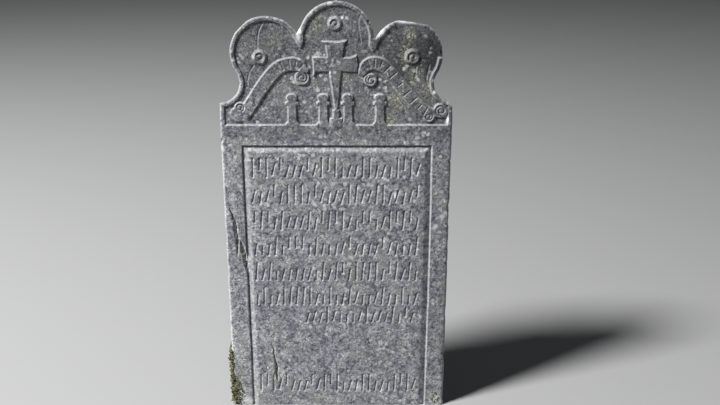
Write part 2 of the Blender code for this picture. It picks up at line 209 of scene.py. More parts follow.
def inward(x, z):
    """A push in from the edge that fades over a short reach, as shares sideways and upwards:
    straight in from the lobes, necks and shoulders, whose lines are carried on past the sides,
    and level in from the sides, whichever is the stronger sideways."""
    px, pz, nx, nz = nearest_edge(x, z, shoulders_on)
    share = np.clip(1.0 - np.hypot(x - px, z - pz) / WORN_REACH, 0.0, 1.0)
    side = np.clip(1.0 - (WIDTH / 2 - np.abs(x)) / WORN_REACH, 0.0, 1.0)
    level = np.where(side > share * np.abs(nx), -np.sign(x) * side, share * nx)
    return level, share * nz


def grain(x, y, z, size, seed):
    """Smooth noise from -1 to 1: a mixed whole number at each corner of a cubic lattice, blended
    between the corners by the curve 3t2 - 2t3."""
    cells = [np.floor(np.asarray(v, float) / size + 100.0 * seed + 0.37) for v in (x, y, z)]
    parts = [np.asarray(v, float) / size + 100.0 * seed + 0.37 - c for v, c in zip((x, y, z), cells)]
    whole = [c.astype(np.int64) for c in cells]
    blend = [p * p * (3.0 - 2.0 * p) for p in parts]
    total = 0.0
    for corner in range(8):
        bits = [(corner >> k) & 1 for k in range(3)]
        mixed = sum((w + b) * m for w, b, m in zip(whole, bits, (73856093, 19349663, 83492791)))
        mixed = (mixed ^ (mixed >> 13)) * 1274126177 & 0x7FFFFFFF
        mixed = (mixed ^ (mixed >> 15)) & 0xFFFF
        weight = 1.0
        for b, t in zip(bits, blend):
            weight = weight * (t if b else 1.0 - t)
        total = total + weight * mixed
    return total / 32767.5 - 1.0


def ramp(value):
    """A smooth step from 0 to 1."""
    t = np.clip(value, 0.0, 1.0)
    return t * t * (3.0 - 2.0 * t)


def weather(x, y, z):
    """Depth of wear on a face: soft hollows of two sizes, flakes lost with a sharp step, pits
    and a fine roughness."""
    flakes = grain(x, y, z, 0.055, 5) + 0.45 * grain(x, y, z, 0.017, 6)
    wear = 0.00040 * (1.0 + grain(x, y, z, 0.060, 1)) + 0.00024 * (1.0 + grain(x, y, z, 0.0115, 2))
    wear = wear + 0.00040 * ramp((flakes - 0.22) / 0.05)
    pits = ramp((grain(x, y, z, 0.0070, 3) - 0.42) / 0.35)
    return wear + 0.00065 * pits + 0.00017 * grain(x, y, z, 0.0048, 4)


def arris_depth(x, z, edge):
    """A worn slope along the arris, broader and deeper where a chip has gone: its depth rises
    towards the edge a little faster than evenly."""
    chips = ramp((grain(x, 0.0 * x, z, 0.021, 7) + 0.5 * grain(x, 0.0 * x, z, 0.008, 8) - 0.42) / 0.5)
    reach = ARRIS + CHIP * chips
    share = np.clip(1.0 - edge / reach, 0.0, 1.0)
    return reach * 0.80 * share**1.2


def side_wear(x, y, z):
    """How far the sides lie in from the outline: the taper to the back, long waves, nicks, deeper
    losses and a lost foot corner, less a slight swell below the shoulders."""
    losses = ramp((grain(x, y, z, 0.045, 9) - 0.35) / 0.5)
    nicks = 0.0006 * grain(x, y, z, 0.024, 10) + 0.0004 * grain(x, y, z, 0.007, 11)
    corner = ramp(1.0 - z / CORNER_HEIGHT) * (x < 0.0)
    taper = BACK_TAPER * np.clip((y - FRONT - ARRIS) / (BACK - FRONT - 2 * ARRIS), 0.0, 1.0)
    swell = SIDE_SWELL * ramp((SWELL_TOP - z) / SWELL_FADE)
    return taper + 0.0002 + nicks + 0.0020 * losses + CORNER_LOSS * corner - swell


def break_climb(x, y, z):
    """How far the broken top of the right lobe climbs towards the back: evenly with the depth,
    and never above the circle that the lobe had before."""
    cx, cz = place(RIGHT_LOBE)
    radius = RIGHT_LOBE_RADIUS * WIDTH
    angle = np.degrees(np.arctan2(z - cz, x - cx))
    whole = cz + np.sqrt(np.maximum(radius**2 - (x - cx) ** 2, 0.0))
    on_break = (angle < BREAK_FROM) & (angle > BREAK_TO)
    climb = np.clip(BREAK_CLIMB * (y - FRONT), 0.0, np.maximum(whole - z, 0.0))
    return np.where(on_break, climb, 0.0)


# Olive stains, and pale lichen and bruises, each a soft round or oval patch: x, z, reach
# sideways, reach upwards, and strength.
OLIVE_PATCHES = (
    (-0.046, 1.106, 0.026, 0.030, 0.75), (-0.154, 1.073, 0.016, 0.020, 0.55),
    (-0.113, 1.085, 0.013, 0.020, 0.45), (0.190, 1.085, 0.014, 0.020, 0.80),
    (0.180, 1.040, 0.012, 0.030, 0.95), (0.208, 0.978, 0.020, 0.022, 0.85),
    (0.160, 0.909, 0.020, 0.028, 1.00), (0.142, 0.861, 0.024, 0.016, 0.90),
    (0.027, 0.975, 0.018, 0.014, 0.70), (0.240, 0.930, 0.025, 0.030, 0.60),
    (-0.182, 0.105, 0.011, 0.026, 1.20), (-0.290, 0.100, 0.020, 0.060, 0.60),
    (0.275, 0.020, 0.030, 0.025, 0.40), (-0.250, 0.020, 0.040, 0.020, 0.50),
    (-0.262, 0.485, 0.010, 0.026, 0.80), (0.045, 0.430, 0.016, 0.060, 0.45),
    (0.060, 0.330, 0.022, 0.040, 0.45), (0.020, 0.520, 0.012, 0.020, 0.40),
    (-0.130, 0.690, 0.020, 0.025, 0.40), (0.110, 0.560, 0.030, 0.020, 0.35),
    (0.120, 0.120, 0.030, 0.040, 0.30), (-0.060, 0.025, 0.040, 0.020, 0.60),
)
PALE_PATCHES = (
    (0.158, 0.652, 0.0022, 0.0090, 1.3), (-0.232, 0.750, 0.0030, 0.0030, 0.7),
    (0.172, 1.117, 0.0150, 0.0050, 0.4), (0.196, 1.114, 0.0140, 0.0030, 0.3),
    (-0.095, 1.076, 0.0060, 0.0110, 0.6), (0.120, 1.088, 0.0090, 0.0100, 0.5),
    (0.017, 1.126, 0.0030, 0.0030, 1.2), (-0.090, 1.091, 0.0042, 0.0060, 0.8),
    (0.255, 0.965, 0.0035, 0.0040, 1.2), (0.257, 0.935, 0.0035, 0.0040, 1.2),
    (0.293, 0.862, 0.0030, 0.0070, 1.2), (-0.240, 0.858, 0.0070, 0.0040, 0.8),
    (0.284, 0.024, 0.0160, 0.0220, 0.4), (-0.262, 0.016, 0.0180, 0.0120, 0.5),
    (0.268, 0.560, 0.0060, 0.0090, 0.4), (0.287, 0.590, 0.0070, 0.0060, 0.4),
    (-0.282, 0.640, 0.0050, 0.0120, 0.3), (0.122, 0.205, 0.0080, 0.0070, 0.4),
    (-0.160, 0.170, 0.0060, 0.0050, 0.4), (0.060, 0.060, 0.0100, 0.0080, 0.3),
)


def patches(x, z, rows):
    """The strength of the strongest patch at each point, falling off as a bell curve."""
    strength = np.zeros(x.shape)
    for cx, cz, wide, high, most in rows:
        strength = np.maximum(strength, most * np.exp(-(((x - cx) / wide) ** 2) - ((z - cz) / high) ** 2))
    return strength


def tone_and_painted_falloff(x, z):
    """How light the slate is: darker in the head, darkest in the right lobe, paler at the left
    and at the foot. The steady darkening from left to right is a painted falloff of the light,
    which comes from the left."""
    in_head = 0.28 * ramp((z - BAND_TOP + 0.055) / 0.030) + 0.14 * ramp((z - BAND_TOP - 0.08) / 0.10)
    lobes = 0.38 * np.exp(-(((x - 0.205) / 0.120) ** 2) - ((z - 1.030) / 0.090) ** 2)
    lobes = lobes + 0.20 * np.exp(-(((x + 0.185) / 0.100) ** 2) - ((z - 1.035) / 0.080) ** 2)
    foot = 0.14 * ramp(1.0 - z / 0.7) + 0.34 * ramp((-x - 0.20) / 0.08) * ramp(1.0 - z / 0.6)
    return 1.0 - in_head - lobes - 0.28 * x - 0.10 * ramp((x - 0.22) / 0.03) + foot


def stone_mesh(name, points, quads, triangles, marks):
    """A closed mesh from whole arrays of points and faces, with its marks kept on its points."""
    corners = np.concatenate((quads.ravel(), triangles.ravel())).astype(np.int32)
    after_quads = len(quads) * 4 + np.arange(len(triangles)) * 3
    starts = np.concatenate((np.arange(len(quads)) * 4, after_quads)).astype(np.int32)
    mesh = bpy.data.meshes.new(name)
    mesh.vertices.add(len(points))
    mesh.vertices.foreach_set("co", points.astype(np.float32).ravel())
    mesh.loops.add(len(corners))
    mesh.loops.foreach_set("vertex_index", corners)
    mesh.polygons.add(len(starts))
    mesh.polygons.foreach_set("loop_start", starts)
    mesh.update(calc_edges=True)
    for mark, values in marks.items():
        layer = mesh.attributes.new(mark, "FLOAT", "POINT")
        layer.data.foreach_set("value", values.astype(np.float32))
    mesh.shade_smooth()
    mesh.set_sharp_from_angle(angle=math.radians(50.0))
    piece = bpy.data.objects.new(name, mesh)
    bpy.context.scene.collection.objects.link(piece)
    return piece


def blurred(values, reach):
    """The mean of each value with its neighbours in both directions of the grid."""
    for axis in (0, 1):
        padded = np.pad(values, [(reach, reach) if a == axis else (0, 0) for a in (0, 1)], "edge")
        summed = sum(np.roll(padded, k, axis) for k in range(-reach, reach + 1)) / (2 * reach + 1)
        values = summed.take(range(reach, summed.shape[axis] - reach), axis)
    return values


def fitted_grid(low, high, cell):
    """An even grid over a stretch of the slab, with its distances in from the slab's edge. The
    points within half a cell of the edge are moved onto it, and they are its rim."""
    along = np.linspace(-WIDTH / 2, WIDTH / 2, 1 + round(WIDTH / cell))
    up = np.linspace(low, high, 1 + round((high - low) / cell))
    x, z = np.meshgrid(along, up)
    edge = edge_distance(x, z, slab_edge)
    rim = np.abs(edge) <= cell * 0.505
    px, pz, _, _ = nearest_edge(x[rim], z[rim], slab_edge)
    x[rim], z[rim] = px, np.clip(pz, low, high)
    edge[rim] = 0.0
    return x, z, edge, rim


def grid_faces(kept, rim):
    """Quads where all four corners of a cell are kept, triangles where three are, none where
    the whole cell lies on the rim, and the steps along the open border of them all."""
    number = np.arange(kept.size).reshape(kept.shape)
    cells = np.stack((number[:-1, :-1], number[:-1, 1:], number[1:, 1:], number[1:, :-1]), -1)
    cells = cells.reshape(-1, 4)
    held = kept.ravel()[cells]
    core = (kept & ~rim).ravel()[cells].any(1)
    quads = cells[held.all(1) & core]
    three = (held.sum(1) == 3) & core
    triangles = [np.roll(cells[three & ~held[:, k]], -k - 1, axis=1)[:, :3] for k in range(4)]
    triangles = np.vstack(triangles)
    steps = [np.stack((faces, np.roll(faces, -1, 1)), -1).reshape(-1, 2) for faces in (quads, triangles)]
    steps = np.vstack(steps)
    there, back = steps[:, 0] * kept.size + steps[:, 1], steps[:, 1] * kept.size + steps[:, 0]
    return quads, triangles, steps[~np.isin(there, back)]


def slab_stretch(name, low, high, cell, carved, face, cap, rows):
    """One stretch of the slab from one height to another, as a closed solid.

    A grid fitted to the slab's edge is set back from its face by the carved depth, the wear
    and the arris. From its border, rows of points run along the worn sides to the cap's plane,
    which a fan of triangles about one point closes. Slopes that look up or to the left, towards the
    lamp, are given a painted highlight, and so is the arris on both sides."""
    x, z, edge, rim = fitted_grid(low, high, cell)
    into = -1.0 if face > cap else 1.0
    cut = carved(x, z)
    depth = cut + weather(x, face + 0.0 * x, z) + arris_depth(x, z, edge)
    quads, triangles, border = grid_faces((edge > 0.0) | rim, rim)
    used = np.unique(np.concatenate((quads.ravel(), triangles.ravel())))
    loop = np.unique(border)
    new_number = np.full(x.size, -1)
    new_number[used] = np.arange(len(used))
    loop_number = np.full(x.size, -1)
    loop_number[loop] = np.arange(len(loop))

    # Painted shade: points cut deeper than the ground around them, the bottoms of grooves and the feet of
    # walls, are darkened. Raised edges beside them are made paler, partly as rubbed wear and partly as
    # painted highlight.
    hollow = np.clip((blurred(cut, 3) - cut) / 0.0016, -1.0, 0.0)
    recess_shade_and_pale_edges = (hollow + np.clip((blurred(cut, 2) - cut) / 0.0010, 0.0, 1.0)).ravel()[used]
    # Painted highlight on carved slopes that face up and to the left, towards the lamp.
    rise_z, rise_x = np.gradient(cut)
    highlight_share = np.clip((0.66 * rise_z - 0.75 * rise_x) / cell, 0.0, HIGHLIGHT_MOST).ravel()[used]
    x, z, edge, depth = (v.ravel() for v in (x, z, edge, depth))
    shift = np.zeros((len(used), 2))
    near = edge[used] < WORN_REACH
    close = used[near]
    _, _, nx, nz = nearest_edge(x[close], z[close], slab_edge)
    worn = side_wear(x[close], face + into * depth[close], z[close])
    level, upright = inward(x[close], z[close])
    shift[near] = np.column_stack((level * worn, upright * worn))
    # Painted highlight along the arris on both sides, and a little along the top.
    facing = np.clip(0.80 * nx - 0.25 * nz, 0.0, 1.0) + 0.90 * np.clip(-nx, 0.0, 1.0)
    highlight_share[near] += facing * np.clip(1.0 - edge[close] / HIGHLIGHT_REACH, 0.0, 1.0)
    shift[:, 1] *= (z[used] > low) & (z[used] < high)
    surface = np.column_stack((x[used] + shift[:, 0], face + into * depth[used], z[used] + shift[:, 1]))

    outer = edge[loop] <= 1e-9
    px, pz, _, _ = nearest_edge(x[loop], z[loop], slab_edge)
    level, upright = inward(x[loop], z[loop])
    sides = []
    for k in range(1, rows + 1):
        share = k / rows
        y = (face + into * depth[loop]) * (1.0 - share) + cap * share
        worn = np.where(outer, side_wear(x[loop], y, z[loop]), 0.0)
        climb = np.where(outer, break_climb(px, y, pz), 0.0)
        up = (upright * worn + climb) * ((z[loop] > low) & (z[loop] < high))
        sides.append(np.column_stack((x[loop] + level * worn, y, z[loop] + up)))
    fan_point = np.array([[0.0, cap, min((low + high) / 2, FAN_HEIGHT)]])
    points = np.vstack((surface, *sides, fan_point))

    start, stop = loop_number[border[:, 0]], loop_number[border[:, 1]]
    first = [new_number[border[:, 0]]] + [len(used) + k * len(loop) + start for k in range(rows)]
    second = [new_number[border[:, 1]]] + [len(used) + k * len(loop) + stop for k in range(rows)]
    walls = [np.column_stack((second[k], first[k], first[k + 1], second[k + 1])) for k in range(rows)]
    fan = np.column_stack((second[-1], first[-1], np.full(len(start), len(points) - 1)))
    quads = np.vstack((new_number[quads], *walls))
    triangles = np.vstack((new_number[triangles], fan))
    if face > cap:
        quads, triangles = quads[:, ::-1], triangles[:, ::-1]

    rest = np.zeros(len(points) - len(used))
    pale = patches(points[:, 0], points[:, 2], PALE_PATCHES) * (points[:, 1] < 0.0)
    # The pale mark holds the pale lichen and bruise patches together with the painted highlight.
    marks = {
        "recess_shade_and_pale_edges": np.concatenate((recess_shade_and_pale_edges, rest)),
        "olive": patches(points[:, 0], points[:, 2], OLIVE_PATCHES) * (points[:, 1] < 0.0),
        "pale": pale + HIGHLIGHT_STRENGTH * np.concatenate((highlight_share, rest)),
        # Tone of the slate, with the painted falloff of light from left to right.
        "tone": tone_and_painted_falloff(points[:, 0], points[:, 2]),
    }
    return stone_mesh(name, points, quads, triangles, marks)


DARK_SLATE = (0.040, 0.041, 0.050)
MID_SLATE = (0.230, 0.237, 0.270)
GREEN_GREY = (0.205, 0.210, 0.190)
LICHEN_CRUST = (0.380, 0.395, 0.378)
LICHEN_SPECK = (0.560, 0.570, 0.560)
LICHEN_ROUND = (0.480, 0.495, 0.470)
DARK_PIT = (0.040, 0.042, 0.050)
OLIVE_STAIN = (0.122, 0.118, 0.088)
OLIVE_TIP = (0.400, 0.405, 0.335)
# Painted shade laid into the hollows of the carving.
PAINTED_RECESS_SHADE = (0.045, 0.045, 0.048)
# Raised edges of the carving made paler, partly as rubbed wear and partly as a painted highlight of the
# edge lines.
PALE_EDGE_WEAR_AND_HIGHLIGHT = (0.520, 0.525, 0.550)
# Pale lichen and bruises, and the painted highlight on slopes and arris.
PALE_LICHEN_AND_HIGHLIGHT = (0.800, 0.805, 0.820)


def paint_slate():
    """Weathered blue-grey slate: a dark and a mid grey mottled together, crusts and specks of
    pale lichen, dark pits, olive stains, painted shade in the hollows, raised edges made pale by
    rubbed wear and a painted highlight, and pale bruises with a painted highlight on the slopes
    and arris that face the lamp."""
    material = bpy.data.materials.new("weathered_slate")
    material.use_nodes = True
    nodes, links = material.node_tree.nodes, material.node_tree.links
    shader = nodes["Principled BSDF"]
    shader.inputs["Specular IOR Level"].default_value = 0.35
    where = nodes.new("ShaderNodeTexCoord").outputs["Object"]

    def cloud(per_metre, seed, detail=4.0, roughness=0.6):
        node = nodes.new("ShaderNodeTexNoise")
        node.noise_dimensions = "4D"
        node.inputs["W"].default_value = seed
        node.inputs["Scale"].default_value = per_metre
        node.inputs["Detail"].default_value = detail
        node.inputs["Roughness"].default_value = roughness
        links.new(where, node.inputs["Vector"])
        return node.outputs["Fac"]

    def stretch(value, low, high, to_low=0.0, to_high=1.0):
        node = nodes.new("ShaderNodeMapRange")
        for socket, given in zip(node.inputs[1:5], (low, high, to_low, to_high)):
            socket.default_value = given
        links.new(value, node.inputs["Value"])
        return node.outputs["Result"]

    def times(value, other):
        node = nodes.new("ShaderNodeMath")
        node.operation = "MULTIPLY"
        links.new(value, node.inputs[0])
        links.new(other, node.inputs[1])
        return node.outputs["Value"]

    def laid_over(base, colour, amount):
        node = nodes.new("ShaderNodeMix")
        node.data_type = "RGBA"
        for socket, given in ((node.inputs["A"], base), (node.inputs["B"], colour)):
            socket = next(s for s in node.inputs if s.name == socket.name and s.type == "RGBA")
            if isinstance(given, tuple):
                socket.default_value = (*given, 1.0)
            else:
                links.new(given, socket)
        links.new(amount, node.inputs["Factor"])
        return next(s for s in node.outputs if s.type == "RGBA")

    def mark(name):
        node = nodes.new("ShaderNodeAttribute")
        node.attribute_name = name
        return node.outputs["Fac"]

    rounds = nodes.new("ShaderNodeTexVoronoi")
    rounds.inputs["Scale"].default_value = 66.0
    links.new(where, rounds.inputs["Vector"])
    chosen = times(stretch(rounds.outputs["Distance"], 0.42, 0.26), stretch(cloud(11.0, 8.0), 0.45, 0.57))
    lichen_spots = times(chosen, stretch(cloud(60.0, 9.0), 0.42, 0.54, 0.0, 0.75))
    mottle = cloud(95.0, 1.0, 6.0, 0.78)
    speckle = cloud(230.0, 2.0, 3.0, 0.6)
    colour = laid_over(DARK_SLATE, MID_SLATE, stretch(mottle, 0.405, 0.595))
    colour = laid_over(colour, GREEN_GREY, stretch(cloud(16.0, 3.0, 5.0), 0.50, 0.66, 0.0, 0.55))
    crust = times(stretch(cloud(34.0, 4.0, 4.0, 0.65), 0.46, 0.64), stretch(speckle, 0.44, 0.60))
    colour = laid_over(colour, LICHEN_CRUST, crust)
    colour = laid_over(colour, LICHEN_SPECK, stretch(speckle, 0.61, 0.70, 0.0, 0.9))
    # The tone mark: the slate's lighter and darker places, and the painted falloff of light from left to
    # right.
    toned = nodes.new("ShaderNodeHueSaturation")
    links.new(mark("tone"), toned.inputs["Value"])
    links.new(colour, toned.inputs["Color"])
    colour = toned.outputs["Color"]
    colour = laid_over(colour, LICHEN_ROUND, lichen_spots)
    pits = stretch(cloud(190.0, 5.0, 4.0, 0.7), 0.46, 0.34, 0.0, 0.7)
    colour = laid_over(colour, DARK_PIT, pits)
    olive = times(mark("olive"), stretch(cloud(120.0, 6.0, 4.0, 0.7), 0.38, 0.56))
    colour = laid_over(colour, OLIVE_STAIN, olive)
    colour = laid_over(colour, OLIVE_TIP, times(olive, stretch(speckle, 0.50, 0.60)))
    # Painted shade in the hollows of the carving.
    colour = laid_over(colour, PAINTED_RECESS_SHADE, stretch(mark("recess_shade_and_pale_edges"), -0.20, -1.0, 0.0, 0.62))
    # Raised edges made paler, partly as rubbed wear and partly as painted highlight.
    colour = laid_over(colour, PALE_EDGE_WEAR_AND_HIGHLIGHT, stretch(mark("recess_shade_and_pale_edges"), 0.35, 1.0, 0.0, 0.25))
    # Pale lichen and bruises, and the painted highlight on slopes facing the lamp and on the arris.
    colour = laid_over(colour, PALE_LICHEN_AND_HIGHLIGHT, mark("pale"))
    links.new(colour, shader.inputs["Base Color"])
    links.new(stretch(mottle, 0.3, 0.7, 0.92, 0.72), shader.inputs["Roughness"])

    bump = nodes.new("ShaderNodeBump")
    bump.inputs["Strength"].default_value = 0.8
    bump.inputs["Distance"].default_value = 0.0020
    links.new(cloud(330.0, 7.0, 5.0, 0.65), bump.inputs["Height"])
    links.new(bump.outputs["Normal"], shader.inputs["Normal"])
    return material


slate = paint_slate()


def finish_stone(piece):
    """Gives a stretch of the slab its slate and lets it stand for the solid."""
    piece.data.materials.append(slate)
    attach(piece, "root")
    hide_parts("headstone")


def riven_depth(x, z):
    """Broad waves and stepped beds of the split back."""
    beds = grain(x, 0.0 * x, 0.5 * z, 0.13, 17) + 0.35 * grain(x, 0.0 * x, z, 0.035, 18)
    steps = ramp((beds - 0.05) / 0.06) + ramp((beds - 0.42) / 0.05)
    return 0.0012 * (1.0 + grain(x, 0.0 * x, z, 0.11, 19)) + 0.0013 * steps


finish_stone(slab_stretch("slab_back", 0.0, HEAD_TOP, BACK_CELL, riven_depth, BACK, INNER, BACK_ROWS))

# The head of the slab: three lobes with a raised rim, where a cross, turned posts, ribbons,
# curls and bosses are left standing on a ground sunk with the chisel. The rim is lost around
# the broken right lobe, and every edge has gone a little soft.
BAND_HEIGHT = 0.0545
PANEL_TOP = BAND_TOP - BAND_HEIGHT
CELL = 0.0015
SIDE_ROWS = 9
RIM_WIDTH = 0.011
GROUND_DEPTH = 0.004
GROUND_WALL = 0.0034
RIDGE_TURN = 9.0
LEFT_RIDGE_POINT = (0.0064, -0.0454)
RIGHT_RIDGE_POINT = (-0.0060, -0.0470)
RIM_LOSS_START = 113.0
RIM_LOSS_END = -4.0
CROSS = (
    (-0.0557, 0.3598), (-0.0410, 0.3467), (-0.0336, 0.2918), (-0.0967, 0.2943),
    (-0.0926, 0.2352), (-0.0951, 0.2139), (-0.0820, 0.2336), (-0.0262, 0.2352),
    (-0.0043, 0.0664), (0.0057, 0.0664), (0.0230, 0.2352), (0.0918, 0.2328),
    (0.0930, 0.2648), (0.0885, 0.3025), (0.0656, 0.2918), (0.0295, 0.2893),
    (0.0352, 0.3467), (0.0475, 0.3648), (0.0164, 0.3582),
)
CROSS_STEPS = ((0.0262, 0.0300), (0.0131, 0.0664))
POST_MIDDLES = (-0.1890, -0.0545, 0.0516, 0.1890)
POST_PROFILE = (
    (0.0330, 0.0000), (0.0220, 0.0130), (0.0185, 0.0250), (0.0185, 0.0820),
    (0.0265, 0.0890), (0.0265, 0.0990), (0.0175, 0.1060), (0.0235, 0.1180),
    (0.0195, 0.1300), (0.0080, 0.1370),
)
LEFT_RIBBON = (
    (-0.4220, 0.0470, 0.0320), (-0.3940, 0.0580, 0.0300), (-0.3660, 0.0900, 0.0270),
    (-0.3320, 0.1420, 0.0270), (-0.2870, 0.2030, 0.0275), (-0.2430, 0.2480, 0.0275),
    (-0.1950, 0.2640, 0.0275), (-0.1570, 0.2600, 0.0260), (-0.1330, 0.2380, 0.0180),
)
RIGHT_RIBBON = (
    (0.1150, 0.2330, 0.0180), (0.1330, 0.2600, 0.0240), (0.1660, 0.2690, 0.0270),
    (0.2060, 0.2540, 0.0275), (0.2440, 0.2160, 0.0275), (0.2900, 0.1580, 0.0280),
    (0.3330, 0.1080, 0.0280), (0.3720, 0.0690, 0.0270), (0.4080, 0.0500, 0.0240),
)
RIBBON_STROKES = 11
RUBBED_END = (-0.277, 0.868)
CURLS = (
    (-0.4131, 0.0770, 0.0230, -60.0, 1.0), (-0.1426, 0.2057, 0.0300, 60.0, -1.0),
    (0.1492, 0.1967, 0.0270, 130.0, 1.0), (0.4000, 0.0370, 0.0230, 60.0, -1.0),
    (0.4516, 0.0640, 0.0310, 250.0, -1.0),
)
BOSSES = ((-0.3197, 0.2925, 0.0311), (-0.0016, 0.4336, 0.0300), (0.3262, 0.2943, 0.0340))
TENDRILS = (
    ((-0.3034, 0.4396), (-0.3230, 0.3958), (-0.3310, 0.3333)),
    ((-0.3481, 0.2560), (-0.3670, 0.2283), (-0.3766, 0.1710), (-0.3400, 0.1600)),
    ((0.3420, 0.2530), (0.3386, 0.2101)),
    ((0.3972, 0.2595), (0.3863, 0.2028), (0.3921, 0.1744)),
    ((0.1037, 0.4703), (0.0955, 0.4289), (0.1075, 0.3542)),
)


def ground_lobes(left_angle, right_angle):
    """The sunk ground's edge inside the rim, which is lost around the right lobe's top."""
    left_angles = (left_angle, left_end - RIDGE_TURN)
    middle_angles = (middle_start + RIDGE_TURN, middle_end - RIDGE_TURN)
    return (
        lobe_arc(LEFT_LOBE, LEFT_LOBE_RADIUS, RIM_WIDTH, *left_angles),
        [place(left_notch + LEFT_RIDGE_POINT)],
        lobe_arc(MIDDLE_LOBE, MIDDLE_LOBE_RADIUS, RIM_WIDTH, *middle_angles),
        [place(right_notch + RIGHT_RIDGE_POINT)],
        lobe_arc(RIGHT_LOBE, RIGHT_LOBE_RADIUS, RIM_WIDTH, right_start + RIDGE_TURN, RIM_LOSS_START),
        lobe_arc(RIGHT_LOBE, RIGHT_LOBE_RADIUS, -RIM_WIDTH, RIM_LOSS_START, RIM_LOSS_END),
        lobe_arc(RIGHT_LOBE, RIGHT_LOBE_RADIUS, RIM_WIDTH, RIM_LOSS_END, right_angle),
    )


ground_edge = lobed_edge(RIM_WIDTH, BAND_TOP, ground_lobes)


def smooth_line(points, steps):
    """A rounder row of points through the given ones, by Catmull-Rom's rule in each column."""
    rows = np.asarray(points, float)
    ends = np.vstack((rows[:1], rows, rows[-1:]))
    t = np.linspace(0.0, 1.0, steps, endpoint=False)[None, :, None]
    a, b, c, d = (ends[i : len(ends) - 3 + i, None, :] for i in range(4))
    curve = a * (-t + 2 * t**2 - t**3) + b * (2 - 5 * t**2 + 3 * t**3)
    curve = (curve + c * (t + 4 * t**2 - 3 * t**3) + d * (t**3 - t**2)) / 2
    return np.vstack((curve.reshape(-1, rows.shape[1]), rows[-1:]))


def line_distance(x, z, path):
    """Distance to an open path, and how many of its steps lie before the nearest point."""
    least = np.full(x.shape, np.inf)
    along = np.zeros(x.shape)
    for i in range(len(path) - 1):
        (x1, z1), (x2, z2) = path[i][:2], path[i + 1][:2]
        dx, dz = x2 - x1, z2 - z1
        share = np.clip(((x - x1) * dx + (z - z1) * dz) / (dx**2 + dz**2 + 1e-18), 0.0, 1.0)
        apart = np.hypot(x - x1 - share * dx, z - z1 - share * dz)
        along = np.where(apart < least, i + share, along)
        least = np.minimum(least, apart)
    return least, along


def groove(x, z, path, width, depth, flare=0.0):
    """A V-shaped cut along a path: full depth on the path, none at half the width, and wider by
    the flare towards both ends."""
    path = np.asarray(path, float)
    reach = width * (1.0 + flare)
    low, high = path[:, :2].min(0) - reach, path[:, :2].max(0) + reach
    near = (x > low[0]) & (x < high[0]) & (z > low[1]) & (z < high[1])
    cut = np.zeros(x.shape)
    apart, along = line_distance(x[near], z[near], path)
    ends = np.abs(2.0 * along / (len(path) - 1) - 1.0) ** 4
    cut[near] = depth * np.clip(1.0 - apart / (width / 2 * (1.0 + flare * ends)), 0.0, 1.0) ** 0.85
    return cut


def ribbon_rise(x, z, ribbon):
    """Signed distance to a ribbon's edge: its half width at the nearest point less the distance."""
    path = smooth_line(ribbon, 6) * WIDTH + (0.0, BAND_TOP, 0.0)
    apart, along = line_distance(x, z, path)
    return np.interp(along, np.arange(len(path)), path[:, 2]) - apart


def post_edge(middle):
    """A turned post seen from the front, the same on both sides of its middle."""
    right = np.vstack(((0.0330, -0.0100), smooth_line(POST_PROFILE, 3)))
    return place(np.vstack((right * (-1.0, 1.0), right[::-1])) + (middle, 0.0))


def steps_edge():
    """Two steps under the cross, which grow out of the band."""
    (low_half, low_top), (high_half, high_top) = CROSS_STEPS
    left = [(-low_half, -0.01), (-low_half, low_top), (-high_half, low_top), (-high_half, high_top)]
    return place(left + [(-x, z) for x, z in left[::-1]])


def ribbon_cuts(x, z):
    """Short strokes across both ribbons, evenly spaced along them."""
    cut = np.zeros(x.shape)
    for ribbon in (LEFT_RIBBON, RIGHT_RIBBON):
        path = smooth_line(ribbon, 3) * WIDTH + (0.0, BAND_TOP, 0.0)
        way = np.gradient(path[:, :2], axis=0)
        way /= np.linalg.norm(way, axis=1)[:, None]
        for k in range(RIBBON_STROKES):
            i = 2 + round(k * (len(path) - 5) / (RIBBON_STROKES - 1))
            reach = path[i, 2] * (0.62 if k % 3 else 0.42) * np.array((way[i, 1], -way[i, 0]))
            ends = (path[i, :2] + reach, path[i, :2] - reach)
            cut = np.maximum(cut, groove(x, z, ends, 0.0042, 0.0016, 0.4))
    return cut


def curl_cuts(x, z):
    """The spiral groove in each curl: its distance from the centre falls evenly as it turns."""
    cut = np.zeros(x.shape)
    share = np.linspace(0.0, 1.0, 40)
    for cx, cz, radius, start, way in CURLS:
        angle = np.radians(start + way * 450.0 * share)
        reach = radius * (0.80 - 0.55 * share)
        path = place(np.column_stack((cx + reach * np.cos(angle), cz + reach * np.sin(angle))))
        cut = np.maximum(cut, groove(x, z, path, 0.0050, 0.0020))
    return cut


def boss_relief(x, z):
    """How much each boss stands up from the ground, as a share, and the cut in its domed top: a
    shallow dish, and in it a comma that draws in towards the middle as it turns."""
    rise = np.zeros(x.shape)
    cut = np.zeros(x.shape)
    for i, (bx, bz, radius) in enumerate(BOSSES):
        cx, cz = place((bx, bz))
        out = np.hypot(x - cx, z - cz) / (radius * WIDTH)
        turn = (np.arctan2(cz - z, x - cx) + 2.6 + 0.7 * i) % (2 * np.pi) / (2 * np.pi)
        rise = np.maximum(rise, np.clip((1.10 - out) / 0.34, 0.0, 1.0) ** 0.8)
        comma = np.exp(-(((out - 0.52 + 0.42 * turn) / 0.15) ** 2)) * ramp((0.9 - turn) / 0.3)
        hollow = 0.0022 * comma + 0.0008 * ramp((0.74 - out) / 0.2) + 0.0014 * ramp((out - 0.7) / 0.4)
        cut = np.maximum(cut, np.where(out < 1.1, hollow, 0.0))
    return rise, cut


